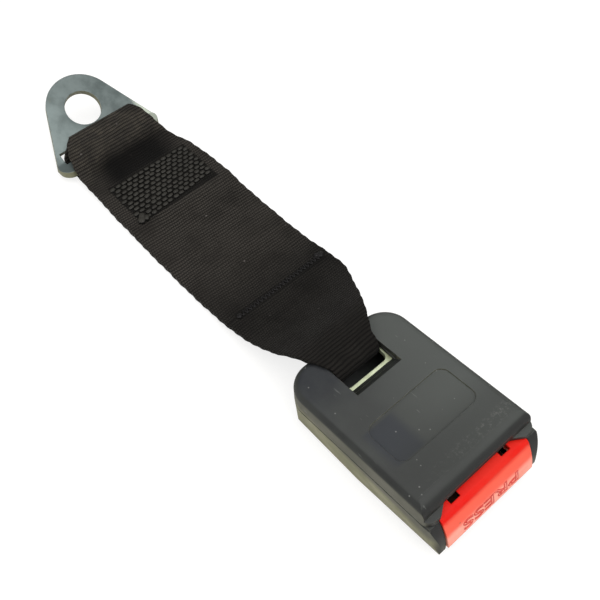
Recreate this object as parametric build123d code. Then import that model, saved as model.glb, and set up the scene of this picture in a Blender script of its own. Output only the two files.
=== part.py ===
"""Seat belt buckle: a two-shell housing with a push-button latch, on a folded webbing strap that ends in a
steel anchor plate.

Bench frame: the housing's rear edge is at x = 0 and its mouth points to +X, the housing's middle plane is
y = 0, and everything lies on the surface z = 0. At the end all pieces are shifted, so that the centre of the
anchor hole becomes the origin of the part. Millimetres.
"""
from build123d import *
from math import cos, hypot, radians, sin, tan
import os

# --- webbing -------------------------------------------------------------------------------------------
WEBBING_WIDTH = 47.0
WEBBING_PLY = 1.25
WEBBING_OFFSET_Y = 6.2          # the strap lies to one side of the housing's middle plane
ANCHOR_OFFSET_Y = 2.4           # and is drawn in again by the anchor plate's slot
WEBBING_TAPER_X = -26.0         # behind this the strap has its full width
WEBBING_NECK_X = -3.2           # in front of this it is folded to fit the frame's slot
WEBBING_NECK_WIDTH = 27.6
STRAP_LENGTH = 136.5            # from the housing's rear edge to the middle of the anchor bar
GATHER_LENGTH = 11.0            # the strap narrows over this length before the anchor loop
ANCHOR_LOOP_WIDTH = 37.2

# --- housing -------------------------------------------------------------------------------------------
HOUSING_WIDTH = 46.0
HOUSING_LENGTH = 67.2
PARTING_REAR_Z = 12.5           # height of the parting line at the rear edge
PARTING_RISE = 0.105            # the parting line and the top rise towards the mouth
UPPER_HEIGHT = 7.4              # top face above the parting line
SHELL_WALL = 1.8
ROOF = 2.0
FLOOR = 1.2
REAR_CORNER_R = 9.8
FRONT_CORNER_R = 3.0
LOWER_CORNER_R = 5.0            # the lower cover's front corners, which form the ears
TOP_EDGE_R = 3.0
UPPER_DRAFT = 3.0
LOWER_LEAN = 1.4                # the lower sides draw in this much towards the bottom
LOWER_EDGE_R = 2.8
LOWER_TURN_X = 34.0             # from here to the mouth they draw in more and get rounder
MOUTH_LEAN = 3.2
MOUTH_EDGE_R = 5.0
TOE_R = 6.0                     # lower front corner of the side outline
REAR_UNDERCUT_Z = 8.0           # the underside rises to this height at the rear edge
REAR_UNDERCUT_LENGTH = 16.0
UPPER_FRONT_X = 63.0            # front corners of the upper cover
SCOOP_X = 59.9                  # middle of its scooped front edge
SCOOP_HALF = 14.0               # the straight middle part of the scoop
BROW_X = 55.4                   # from here the top curves down to the front edge
BROW_EDGE_Z = 21.0
ROOM_FRONT_X = 57.0             # the hollow under the roof ends here
EAR_INNER_Y = 18.8              # the lower cover's ears flank the button
FLOOR_FRONT_X = 63.6            # the floor ends here between the ears
GROOVE = 0.5                    # shadow groove along the parting line
LIP_HEIGHT = 1.4
LIP_THICKNESS = 0.9
FIT_GAP = 0.1

# --- webbing opening and label recess in the upper cover -------------------------------------------------
NOTCH_HALF = 9.4
NOTCH_FRONT_X = 20.2
GUIDE_FOOT_X = 16.5             # foot of the sloping wall in front of the opening
RECESS_REAR_X = 30.2
RECESS_LENGTH = 15.8
RECESS_WIDTH = 32.8
RECESS_DEPTH = 0.5
RECESS_R = 3.4

# --- frame ---------------------------------------------------------------------------------------------
STEEL = 2.0
CHANNEL_HALF = 13.5             # half the clear width between the side walls
FRAME_FRONT_X = 61.5
CRANK_FRONT_X = 25.5
CRANK_REAR_X = 17.6
REAR_TAB_Z = 17.6               # top face of the raised rear tab
FRAME_REAR_X = 3.0
SLOT_REAR_X = 7.5
SLOT_FRONT_X = 15.2
SLOT_HALF = 9.0
SLOT_CORNER_R = 2.2
BEND_R = 3.0
WALL_REAR_X = 27.0
WALL_HIGH_FRONT_X = 55.5
WALL_LOW_FRONT_X = 60.0
WALL_TOP_Z = 15.5
WALL_LOW_Z = 7.0

# --- latch ---------------------------------------------------------------------------------------------
PIN_R = 2.0
PIVOT_X = 30.0
PIVOT_Z = 11.0
RUNNING_GAP = 0.04
LATCH_PLATE = 2.4
NOSE_X = 47.7
NOSE_THICKNESS = 2.9
NOSE_HALF = 6.0
NOSE_TIP_Z = 2.5
EAR_REAR_X = 42.0
EAR_FRONT_X = 45.5
EAR_REACH_Y = 17.6
LATCH_LIFT_DEG = 14.0

# --- button --------------------------------------------------------------------------------------------
BUTTON_TRAVEL = 6.0
BUTTON_GAP = 0.3
BUTTON_TOP_Z = 19.2
BUTTON_BOTTOM_Z = 7.4
BUTTON_FRONT_X = 67.9           # its lower front edge, ahead of the ears
BUTTON_WALL = 1.7
BUTTON_REAR_X = 51.6
RAMP_TOP_X = 52.2
RAMP_TOP_Z = 13.4
ARM_REAR_X = 39.5
ARM_BOTTOM_Z = 5.6
HOOK_X = 53.0
HOOK_LENGTH = 2.0
HOOK_Y = 10.7
HOOK_WIDTH = 3.0

# --- ejector and springs ---------------------------------------------------------------------------------
EJECTOR_TRAVEL = 8.5
EJECTOR_FRONT_X = 47.0
EJECTOR_LENGTH = 9.0
EJECTOR_HEIGHT = 3.7
SPRING_TAB_X = 27.5
SPRING_TAB = 1.2

# --- anchor plate ----------------------------------------------------------------------------------------
PLATE = 3.0
HOLE_R = 7.3
NOSE_RADIUS = 14.7
FLARE_DEG = 24.0                # the sides spread by this angle from the nose to the lugs
PLATE_PITCH_DEG = 30.0          # the nose stands up from the flat bar end
HOLE_TO_BEND = 16.0
BEND_TO_BAR = 4.7               # from the bend to the middle of the bar
PLATE_SLOT_START = 4.2          # the slot begins this far before the bend
PLATE_HALF = 23.6
PLATE_SLOT_HALF = 19.6
BAR_WIDTH = 5.4
BAR_CORNER_R = 5.0


# --- helpers ---------------------------------------------------------------------------------------------
def xz_prism(points, half_width, y_mid=0.0):
    """A side outline in the XZ plane, extruded to both sides of y_mid."""
    face = make_face(Polyline(*points, close=True))
    return Pos(0, y_mid, 0) * extrude(Plane.XZ * face, half_width, both=True)


def block(x0, x1, y0, y1, z0, z1):
    """An axis-aligned block between the given limits."""
    return Pos((x0 + x1) / 2, (y0 + y1) / 2, (z0 + z1) / 2) * Box(x1 - x0, y1 - y0, z1 - z0)


def mirrored(solid):
    """The solid and its mirror image across the middle plane."""
    return solid + solid.mirror(Plane.XZ)


def y_cylinder(radius, x, z, half_length):
    """A cylinder along Y."""
    return Pos(x, 0, z) * Rot(90, 0, 0) * Cylinder(radius, 2 * half_length)


def bent_sheet(points, radius, thickness, half_width):
    """A strip of sheet metal bent along a side path through the given middle-line points."""
    path = FilletPolyline(*points, radius=radius)
    return extrude(Plane.XZ * trace(path, line_width=thickness), half_width, both=True)


def top_z(x):
    """Height of the upper cover's top face."""
    return PARTING_REAR_Z + UPPER_HEIGHT + PARTING_RISE * x


# --- housing ---------------------------------------------------------------------------------------------
PARTING_UP = Plane(origin=(0, 0, PARTING_REAR_Z), x_dir=(1, 0, PARTING_RISE), z_dir=(-PARTING_RISE, 0, 1))
PARTING_DOWN = Plane(origin=(0, 0, PARTING_REAR_Z), x_dir=(1, 0, PARTING_RISE), z_dir=(PARTING_RISE, 0, -1))


def plan(front_x, inset, front_radius):
    """The housing's outline seen from above, moved inwards by inset."""
    half = HOUSING_WIDTH / 2 - inset
    outline = Polyline((inset, -half), (front_x, -half), (front_x, half), (inset, half), close=True)
    sketch = make_face(outline)
    rear = sketch.vertices().group_by(Axis.X)[0]
    sketch = fillet(rear, REAR_CORNER_R - inset)
    if front_radius:
        sketch = fillet(sketch.vertices().group_by(Axis.X)[-1], front_radius)
    return sketch


def upper_cover():
    """The top shell: roof, side walls, label recess, webbing opening and scooped front edge."""
    shell = extrude(PARTING_UP * plan(UPPER_FRONT_X, 0, FRONT_CORNER_R), UPPER_HEIGHT, taper=UPPER_DRAFT)
    top = shell.faces().sort_by(Axis.Z)[-1]
    shell = fillet(top.outer_wire().edges(), TOP_EDGE_R)
    room = extrude(PARTING_UP * plan(ROOM_FRONT_X, SHELL_WALL, 0), UPPER_HEIGHT - ROOF,
                   taper=UPPER_DRAFT)
    shell -= room
    # the roof and the front end leave room for the button
    button_end = BUTTON_REAR_X - BUTTON_TRAVEL - BUTTON_GAP
    shell -= block(button_end, HOUSING_LENGTH + 5, -EAR_INNER_Y, EAR_INNER_Y, 0, BUTTON_TOP_Z + BUTTON_GAP)
    scoop = make_face(Polyline((SCOOP_X, -SCOOP_HALF), (SCOOP_X, SCOOP_HALF), (UPPER_FRONT_X, EAR_INNER_Y),
                               (HOUSING_LENGTH + 5, EAR_INNER_Y), (HOUSING_LENGTH + 5, -EAR_INNER_Y),
                               (UPPER_FRONT_X, -EAR_INNER_Y), close=True))
    shell -= extrude(scoop, 40)
    brow = TangentArc((BROW_X, top_z(BROW_X)), (SCOOP_X + 0.4, BROW_EDGE_Z), tangent=(1, PARTING_RISE))
    above = Polyline(brow @ 1, (HOUSING_LENGTH + 5, BROW_EDGE_Z), (HOUSING_LENGTH + 5, 40), (BROW_X, 40), brow @ 0)
    shell -= extrude(Plane.XZ * make_face([brow, above]), HOUSING_WIDTH, both=True)
    # guide walls around the webbing opening
    guide_foot = REAR_TAB_Z + BUTTON_GAP
    front_wall = xz_prism([(GUIDE_FOOT_X, guide_foot), (GUIDE_FOOT_X + 1.6, guide_foot),
                           (NOTCH_FRONT_X + 1.6, top_z(NOTCH_FRONT_X) - ROOF / 2),
                           (NOTCH_FRONT_X, top_z(NOTCH_FRONT_X) - ROOF / 2)], NOTCH_HALF + 1.4)
    side_wall = mirrored(block(SHELL_WALL / 2, NOTCH_FRONT_X, NOTCH_HALF, NOTCH_HALF + 1.4, guide_foot,
                               top_z(0) - ROOF / 2))
    shell += front_wall + side_wall
    notch = xz_prism([(-5, 0), (GUIDE_FOOT_X, 0), (GUIDE_FOOT_X, guide_foot),
                      (NOTCH_FRONT_X, top_z(NOTCH_FRONT_X)), (NOTCH_FRONT_X, 40), (-5, 40)], NOTCH_HALF)
    shell -= notch
    # label recess, parallel to the sloping roof
    recess_plane = Plane(origin=(0, 0, top_z(0)), x_dir=PARTING_UP.x_dir, z_dir=PARTING_UP.z_dir)
    recess = Pos(RECESS_REAR_X + RECESS_LENGTH / 2, 0) * RectangleRounded(RECESS_LENGTH, RECESS_WIDTH, RECESS_R)
    shell -= extrude(recess_plane * recess, 3, both=False) + extrude(recess_plane * recess, -RECESS_DEPTH)
    # hooks that keep the button in
    hook = block(HOOK_X, HOOK_X + HOOK_LENGTH, HOOK_Y - HOOK_WIDTH / 2, HOOK_Y + HOOK_WIDTH / 2,
                 BUTTON_TOP_Z - BUTTON_WALL, top_z(HOOK_X) - ROOF / 2)
    return shell + mirrored(hook)


def lower_outline():
    """Side outline of the lower cover, with the rising rear underside and the ears' rounded fronts."""
    ear_top = (62.8, PARTING_REAR_Z + PARTING_RISE * 62.8)
    rear = Line((0, 30), (0, REAR_UNDERCUT_Z))
    under = TangentArc((REAR_UNDERCUT_LENGTH, 0), (0, REAR_UNDERCUT_Z), tangent=(-1, 0))
    base = Line((REAR_UNDERCUT_LENGTH, 0), (HOUSING_LENGTH - TOE_R, 0))
    toe = TangentArc((HOUSING_LENGTH - TOE_R, 0), (HOUSING_LENGTH, TOE_R), tangent=(1, 0))
    front = TangentArc((HOUSING_LENGTH, TOE_R), ear_top, tangent=(0, 1))
    up = Polyline(ear_top, (ear_top[0], 30), (0, 30))
    return make_face([rear, under, base, toe, front, up])


def lower_section(inset, bottom):
    """The lower cover's cross section from end to end, with leaning sides and rounded bottom edges."""
    top = HOUSING_WIDTH / 2 - inset

    def face_at(x, lean, edge_r):
        foot = top - lean
        outline = Polyline((-top, PARTING_REAR_Z), (-foot, bottom), (foot, bottom), (top, PARTING_REAR_Z),
                           (top, 30), (-top, 30), close=True)
        face = make_face(outline)
        face = fillet(face.vertices().group_by(Axis.Y)[0], edge_r - inset / 2)
        return Plane.YZ.offset(x) * face

    rear = extrude(face_at(0, LOWER_LEAN, LOWER_EDGE_R), LOWER_TURN_X)
    mouth = loft([face_at(LOWER_TURN_X, LOWER_LEAN, LOWER_EDGE_R), face_at(HOUSING_LENGTH, MOUTH_LEAN, MOUTH_EDGE_R)],
                 ruled=True)
    return rear + mouth


def lower_cover():
    """The bottom shell: floor, side walls with ears, rim lip, spring seats and rails for the button's arms."""
    form = extrude(Plane.XZ * lower_outline(), 40, both=True)
    body = extrude(PARTING_DOWN * plan(HOUSING_LENGTH, 0, LOWER_CORNER_R), 30) & lower_section(0, 0) & form
    room = extrude(PARTING_DOWN * plan(58.0, SHELL_WALL, 0), 30) & lower_section(SHELL_WALL, FLOOR)
    room &= Pos(0, 0, FLOOR) * form
    body -= room
    body -= block(57, HOUSING_LENGTH + 5, -EAR_INNER_Y, EAR_INNER_Y, ARM_BOTTOM_Z, 40)
    frame_room = CHANNEL_HALF + STEEL + FIT_GAP
    body -= block(57, HOUSING_LENGTH + 5, -frame_room, frame_room, FLOOR, 40)
    body -= block(FLOOR_FRONT_X, HOUSING_LENGTH + 5, -EAR_INNER_Y, EAR_INNER_Y, -1, 40)
    body -= xz_prism([(-5, 9.6), (SHELL_WALL + 3, 9.6), (SHELL_WALL + 3, 40), (-5, 40)], NOTCH_HALF)
    # shadow groove along the parting line
    ring = plan(HOUSING_LENGTH + 6, -3, 0) - plan(HOUSING_LENGTH + 6, GROOVE, 0)
    body -= extrude(PARTING_DOWN * ring, GROOVE)
    # rim lip inside the upper cover
    lip = plan(56, SHELL_WALL + FIT_GAP, 0) - plan(60, SHELL_WALL + FIT_GAP + LIP_THICKNESS, 0)
    root = plan(56, SHELL_WALL - 0.2, 0) - plan(60, SHELL_WALL + FIT_GAP + LIP_THICKNESS, 0)
    lip = extrude(PARTING_UP * lip, LIP_HEIGHT) + extrude(PARTING_DOWN * root, 1.2)
    lip -= block(-5, 56 - 2, -NOTCH_HALF - 2, NOTCH_HALF + 2, 0, 40)
    lip -= block(50, 70, -40, 40, 0, 40)
    body += lip
    # spring seats and arm rails
    arm_in = CHANNEL_HALF + STEEL + 0.4
    seat = block(19.5, 21.0, arm_in, 20.3, 1, 10.0)
    rail = block(30, 46, arm_in + 0.3, EAR_INNER_Y - 0.6, 1, ARM_BOTTOM_Z - 0.2)
    rib = block(30, 32, EAR_INNER_Y - 0.6, 20.4, 1, ARM_BOTTOM_Z - 0.2)
    return body + mirrored(seat) + mirrored(rail) + mirrored(rib)


# --- frame -----------------------------------------------------------------------------------------------
BASE_TOP_Z = FLOOR + STEEL


def frame():
    """The steel frame: base with side walls, cranked up at the rear to the slotted webbing tab."""
    mid = FLOOR + STEEL / 2
    tab_mid = REAR_TAB_Z - STEEL / 2
    sheet = bent_sheet([(FRAME_FRONT_X, mid), (CRANK_FRONT_X, mid), (CRANK_REAR_X, tab_mid),
                        (FRAME_REAR_X, tab_mid)], BEND_R, STEEL, CHANNEL_HALF)
    wall = xz_prism([(WALL_REAR_X, FLOOR), (WALL_LOW_FRONT_X, FLOOR), (WALL_LOW_FRONT_X, WALL_LOW_Z),
                     (WALL_HIGH_FRONT_X, WALL_LOW_Z), (WALL_HIGH_FRONT_X - 4, 13.0),
                     (EAR_FRONT_X + 1.4, 13.0), (EAR_FRONT_X + 1.4, 9.2), (EAR_REAR_X - 1.2, 9.2),
                     (EAR_REAR_X - 1.2, WALL_TOP_Z), (WALL_REAR_X, WALL_TOP_Z)],
                    STEEL / 2, CHANNEL_HALF + STEEL / 2)
    body = sheet + mirrored(wall)
    slot = make_face(Polyline((SLOT_REAR_X, -SLOT_HALF), (SLOT_FRONT_X, -SLOT_HALF), (SLOT_FRONT_X, SLOT_HALF),
                              (SLOT_REAR_X, SLOT_HALF), close=True))
    slot = fillet(slot.vertices().group_by(Axis.X)[-1], SLOT_CORNER_R)
    body -= extrude(slot, 40)
    body -= block(NOSE_X - 0.7, NOSE_X + NOSE_THICKNESS + 1.9, -NOSE_HALF - 0.6, NOSE_HALF + 0.6, 0, BASE_TOP_Z + 1)
    body -= block(28.6, 45.3, -2.0, 2.0, 0, BASE_TOP_Z + 1)
    body += block(SPRING_TAB_X, SPRING_TAB_X + SPRING_TAB, -2.6, 2.6, BASE_TOP_Z - 0.5, 7.4)
    return body - y_cylinder(PIN_R + RUNNING_GAP, PIVOT_X, PIVOT_Z, 30)


def frame_bridge():
    """The strap across the side walls that carries the latch spring."""
    bridge = block(33.0, 38.0, -CHANNEL_HALF - STEEL, CHANNEL_HALF + STEEL, WALL_TOP_Z, WALL_TOP_Z + 1.5)
    for y in (-3.0, 3.0):
        bridge -= Pos(35.5, y, WALL_TOP_Z) * Cylinder(1.0, 10)
    return bridge


def bridge_rivets():
    """Two rivets through the bridge and the latch spring."""
    rivets = []
    for y in (-3.0, 3.0):
        shank = Pos(35.5, y, WALL_TOP_Z + 0.5) * Cylinder(1.0, 2.0)
        head = Pos(35.5, y, WALL_TOP_Z + 1.5 + 0.3) * Cylinder(1.7, 0.6)
        foot = Pos(35.5, y, WALL_TOP_Z - 0.5 - 0.3) * Cylinder(1.7, 0.6)
        rivets.append(shank + head + foot)
    return rivets[0] + rivets[1]


def latch_spring():
    """A leaf under the bridge that presses the latch down."""
    leaf = bent_sheet([(33.2, WALL_TOP_Z - 0.25), (38.5, WALL_TOP_Z - 0.25), (43.4, 12.55), (45.6, 12.6)],
                      0.9, 0.5, 5.0)
    for y in (-3.0, 3.0):
        leaf -= Pos(35.5, y, WALL_TOP_Z) * Cylinder(1.0, 10)
    return leaf


def latch_pivot_pin():
    """The pin through the side walls."""
    end = CHANNEL_HALF + STEEL
    pin = y_cylinder(PIN_R, PIVOT_X, PIVOT_Z, end)
    head = Pos(PIVOT_X, end + 0.3, PIVOT_Z) * Rot(90, 0, 0) * Cylinder(PIN_R + 0.6, 0.6)
    return pin + mirrored(head)


def latch_plate():
    """The latch: an eye on the pivot pin, a plate with two ears, and a nose that drops into the base."""
    low = PIVOT_Z - 1.4
    high = low + LATCH_PLATE
    half = CHANNEL_HALF - 0.5
    plate = xz_prism([(PIVOT_X, low), (NOSE_X + 1, low), (NOSE_X + 1, high), (PIVOT_X, high)], half)
    plate += y_cylinder(PIN_R + 1.6, PIVOT_X, PIVOT_Z, half)
    plate += xz_prism([(EAR_REAR_X, low), (EAR_FRONT_X, low), (EAR_FRONT_X, high), (EAR_REAR_X, high)], EAR_REACH_Y)
    nose = xz_prism([(NOSE_X, high - 0.4), (NOSE_X, NOSE_TIP_Z), (NOSE_X + 0.9, NOSE_TIP_Z),
                     (NOSE_X + NOSE_THICKNESS, NOSE_TIP_Z + 5.0), (NOSE_X + NOSE_THICKNESS, high - 1.2),
                     (NOSE_X + NOSE_THICKNESS - 1.2, high)], NOSE_HALF)
    plate += nose
    return plate - y_cylinder(PIN_R + RUNNING_GAP, PIVOT_X, PIVOT_Z, 30)


# --- ejector ---------------------------------------------------------------------------------------------
EJECTOR_Z = BASE_TOP_Z + FIT_GAP
SPRING_Z = EJECTOR_Z + EJECTOR_HEIGHT / 2


def ejector():
    """The slider that throws the tongue out: a cross bar on a body with a spring pocket and a guide rib."""
    rear = EJECTOR_FRONT_X - EJECTOR_LENGTH
    bar = block(EJECTOR_FRONT_X - 4, EJECTOR_FRONT_X, -12.6, 12.6, EJECTOR_Z, EJECTOR_Z + EJECTOR_HEIGHT)
    bar = chamfer(bar.edges().filter_by(Axis.Z).group_by(Axis.X)[0], 2.0)
    body = block(rear, EJECTOR_FRONT_X - 3, -3.4, 3.4, EJECTOR_Z, EJECTOR_Z + EJECTOR_HEIGHT)
    rib = block(EJECTOR_FRONT_X - 7.2, EJECTOR_FRONT_X - 2.1, -1.8, 1.8, FLOOR + 0.2, EJECTOR_Z)
    pocket = Pos(rear + 2.5, 0, SPRING_Z) * Rot(0, 90, 0) * Cylinder(1.4, 5.0)
    return bar + body + rib - pocket


def coil_spring(x0, x1, y, z, radius, wire, turns):
    """A compression spring along X."""
    length = x1 - x0 - wire
    helix = Helix(pitch=length / turns, height=length, radius=radius)
    ring = Plane(origin=helix @ 0, z_dir=helix % 0) * Circle(wire / 2)
    coil = sweep(ring, path=helix)
    return Pos(x0 + wire / 2, y, z) * Rot(0, 90, 0) * coil


def ejector_spring():
    """From the frame's tab to the bottom of the ejector's pocket."""
    front = EJECTOR_FRONT_X - EJECTOR_LENGTH + 5.0
    return coil_spring(SPRING_TAB_X + SPRING_TAB + 0.15, front - 0.15, 0, SPRING_Z, 0.95, 0.4, 9)


# --- release button --------------------------------------------------------------------------------------
ARM_INNER_Y = CHANNEL_HALF + STEEL + 0.4
ARM_OUTER_Y = EAR_INNER_Y - BUTTON_GAP


def button_front():
    """The button's side outline: flat top, rounded shoulder, and a face that leans out to its lower edge."""
    top = Line((BUTTON_REAR_X, BUTTON_TOP_Z), (62.2, BUTTON_TOP_Z))
    shoulder = ThreePointArc(top @ 1, (63.6, BUTTON_TOP_Z - 0.6), (64.3, BUTTON_TOP_Z - 1.7))
    face = ThreePointArc(shoulder @ 1, (66.5, 12.8), (BUTTON_FRONT_X, BUTTON_BOTTOM_Z))
    rest = Polyline(face @ 1, (BUTTON_REAR_X, BUTTON_BOTTOM_Z), top @ 0)
    return make_face([top, shoulder, face, rest])


def release_button():
    """The red button: a hollow cap with two arms whose ramps lift the latch's ears."""
    cap = extrude(Plane.XZ * button_front(), ARM_OUTER_Y, both=True)
    hollow = extrude(Plane.XZ * Pos(-BUTTON_WALL, -BUTTON_WALL) * button_front(), ARM_OUTER_Y - BUTTON_WALL, both=True)
    cap -= hollow + Pos(-3, 0, 0) * hollow
    cap -= block(BUTTON_REAR_X - 5, BUTTON_FRONT_X - 0.6 - BUTTON_WALL, -ARM_OUTER_Y + BUTTON_WALL,
                 ARM_OUTER_Y - BUTTON_WALL, 0, BUTTON_BOTTOM_Z + 3)
    for y in (-HOOK_Y, HOOK_Y):
        cap -= block(HOOK_X - 0.2, HOOK_X + HOOK_LENGTH + BUTTON_TRAVEL + 0.5, y - HOOK_WIDTH / 2 - 0.4,
                     y + HOOK_WIDTH / 2 + 0.4, BUTTON_TOP_Z - BUTTON_WALL - 0.4, BUTTON_TOP_Z + 1)
    ear_low = PIVOT_Z - 1.4
    arm = xz_prism([(ARM_REAR_X, ARM_BOTTOM_Z), (BUTTON_REAR_X + 4, BUTTON_BOTTOM_Z), (BUTTON_REAR_X + 4, RAMP_TOP_Z),
                    (RAMP_TOP_X, RAMP_TOP_Z), (EAR_FRONT_X + 0.3, ear_low - 0.3), (ARM_REAR_X, ear_low - 0.3)],
                   (ARM_OUTER_Y - ARM_INNER_Y) / 2, (ARM_OUTER_Y + ARM_INNER_Y) / 2)
    return cap + mirrored(arm)


def button_spring(side):
    """One of the two springs between the lower cover's seats and the button's arms."""
    y = side * (ARM_INNER_Y + ARM_OUTER_Y) / 2
    return coil_spring(21.0 + 0.15, ARM_REAR_X - 0.15, y, 7.3, 1.25, 0.5, 9)


def tongue_guide():
    """The plastic lead-in around the front end of the frame's channel."""
    front = FLOOR_FRONT_X - 0.2
    cheek = block(WALL_LOW_FRONT_X + 0.2, front, CHANNEL_HALF, CHANNEL_HALF + 1.9, FLOOR, WALL_LOW_Z)
    sill = block(FRAME_FRONT_X, front, -CHANNEL_HALF, CHANNEL_HALF, FLOOR, BASE_TOP_Z - 0.2)
    return sill + mirrored(cheek)


# --- webbing ---------------------------------------------------------------------------------------------
BUCKLE_BAR_X = (FRAME_REAR_X + SLOT_REAR_X) / 2
BUCKLE_BAR_Z = REAR_TAB_Z - STEEL / 2
BUCKLE_LOOP_R = hypot((SLOT_REAR_X - FRAME_REAR_X) / 2, STEEL / 2) + 0.14
BUCKLE_LOOP_OUT = BUCKLE_LOOP_R + 2 * WEBBING_PLY
ANCHOR_LOOP_R = hypot(BAR_WIDTH / 2, PLATE / 2) + 0.14
ANCHOR_LOOP_OUT = ANCHOR_LOOP_R + WEBBING_PLY
ANCHOR_BAR_X = -STRAP_LENGTH
ANCHOR_BAR_Z = ANCHOR_LOOP_OUT
WEBBING_BEND_R = 60.0
LOOP_STUB = 1.6                 # straight start of a run after a loop
CLOSE_X = -15.0                 # the two runs of the buckle loop meet here
FOLD_HALF = SLOT_HALF - 0.5     # half the folded strap's width in the frame's slot


def strap_centre():
    """The line on which the two plies meet, from the anchor loop to the buckle loop, as (x, z)."""
    return [(ANCHOR_BAR_X + 11.5, WEBBING_PLY), (-70.0, WEBBING_PLY), (-46.0, 2.6), (WEBBING_TAPER_X, 7.2),
            (CLOSE_X, 11.8)]


def soft_line(points):
    """Straight runs joined by arcs, each as large as its two runs allow, up to a gentle bend of the webbing."""
    radii = []
    for before, here, after in zip(points, points[1:], points[2:]):
        run_in = Vector(here[0] - before[0], here[1] - before[1])
        run_out = Vector(after[0] - here[0], after[1] - here[1])
        turn = radians(run_in.get_angle(run_out))
        shorter = min(run_in.length, run_out.length)
        radii.append(min(0.42 * shorter / tan(turn / 2), WEBBING_BEND_R))
    return FilletPolyline(*points, radius=radii)


def strap_boundary(rise, anchor_z, buckle_z, closing_z):
    """A ply's upper or lower side: the strap's centre line raised by rise, with its ends at the two loops."""
    middle = [(x, z + rise) for x, z in strap_centre()]
    middle[-1] = (CLOSE_X, closing_z)
    start = [(ANCHOR_BAR_X, anchor_z)]
    if anchor_z > 2 * WEBBING_PLY:
        start.append((ANCHOR_BAR_X + LOOP_STUB, anchor_z))
    else:
        middle = middle[1:]
    end = [(WEBBING_NECK_X, buckle_z - 0.2), (BUCKLE_BAR_X, buckle_z)]
    return soft_line(start + middle + end)


def strap_plan():
    """The strap seen from above: drawn in at the anchor loop, full width, tapering to the folded neck."""
    full = WEBBING_WIDTH / 2
    neck = WEBBING_NECK_WIDTH / 2
    loop = ANCHOR_LOOP_WIDTH / 2
    gather_x = ANCHOR_BAR_X + GATHER_LENGTH
    outline = [(ANCHOR_BAR_X - 20, ANCHOR_OFFSET_Y + loop), (ANCHOR_BAR_X + LOOP_STUB, ANCHOR_OFFSET_Y + loop),
               (gather_x, WEBBING_OFFSET_Y + full), (WEBBING_TAPER_X, WEBBING_OFFSET_Y + full),
               (WEBBING_NECK_X, neck), (WEBBING_NECK_X, FOLD_HALF), (30, FOLD_HALF), (30, -FOLD_HALF),
               (WEBBING_NECK_X, -FOLD_HALF), (WEBBING_NECK_X, -neck), (WEBBING_TAPER_X, WEBBING_OFFSET_Y - full),
               (gather_x, WEBBING_OFFSET_Y - full), (ANCHOR_BAR_X + LOOP_STUB, ANCHOR_OFFSET_Y - loop),
               (ANCHOR_BAR_X - 20, ANCHOR_OFFSET_Y - loop)]
    return extrude(make_face(Polyline(*outline, close=True)), 60)


def strap_ply(top, bottom):
    """A ply between its upper and lower sides, cut to the strap's plan."""
    face = make_face([top, Line(top @ 1, bottom @ 1), bottom, Line(bottom @ 0, top @ 0)])
    return extrude(Plane.XZ * face, 2 * WEBBING_WIDTH, both=True) & strap_plan()


def webbing_upper_ply():
    """The strap's upper run, from over the anchor bar to over the frame's bar."""
    return strap_ply(strap_boundary(WEBBING_PLY, ANCHOR_BAR_Z + ANCHOR_LOOP_OUT, BUCKLE_BAR_Z + BUCKLE_LOOP_OUT,
                                    strap_centre()[-1][1] + 2.6),
                     strap_boundary(0, ANCHOR_BAR_Z + ANCHOR_LOOP_R, BUCKLE_BAR_Z + BUCKLE_LOOP_R,
                                    strap_centre()[-1][1]))


def webbing_lower_ply():
    """The strap's lower run, flat on the surface behind and folded under the frame's bar in front."""
    return strap_ply(strap_boundary(0, WEBBING_PLY, BUCKLE_BAR_Z - BUCKLE_LOOP_R, strap_centre()[-1][1]),
                     strap_boundary(-WEBBING_PLY, 0, BUCKLE_BAR_Z - BUCKLE_LOOP_OUT, strap_centre()[-1][1] - 2.6))


def half_ring(x, z, inner, outer, side, half_width, y_mid):
    """Half a webbing loop round a bar: side 1 is its front half, side -1 its rear half."""
    ring = y_cylinder(outer, x, z, half_width) - y_cylinder(inner, x, z, half_width)
    reach = outer + 1
    x_far = x + side * reach
    keep = block(min(x, x_far), max(x, x_far), -half_width - 1, half_width + 1, z - reach, z + reach)
    return Pos(0, y_mid, 0) * (ring & keep)


def webbing_buckle_loop():
    """The folded webbing round the bar of the frame's rear tab."""
    return half_ring(BUCKLE_BAR_X, BUCKLE_BAR_Z, BUCKLE_LOOP_R, BUCKLE_LOOP_OUT, 1, FOLD_HALF, 0)


def webbing_anchor_loop():
    """The webbing round the bar of the anchor plate."""
    return half_ring(ANCHOR_BAR_X, ANCHOR_BAR_Z, ANCHOR_LOOP_R, ANCHOR_LOOP_OUT, -1, ANCHOR_LOOP_WIDTH / 2,
                     ANCHOR_OFFSET_Y)


# --- anchor plate ------------------------------------------------------------------------------------------
PITCH = radians(PLATE_PITCH_DEG)
BEND_X = ANCHOR_BAR_X - BEND_TO_BAR
HOLE_X = BEND_X - HOLE_TO_BEND * cos(PITCH)
HOLE_Z = ANCHOR_BAR_Z + HOLE_TO_BEND * sin(PITCH)
PLATE_PLANE = Plane(origin=(HOLE_X, ANCHOR_OFFSET_Y, HOLE_Z), x_dir=(cos(PITCH), 0, -sin(PITCH)),
                    z_dir=(sin(PITCH), 0, cos(PITCH)))


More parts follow.
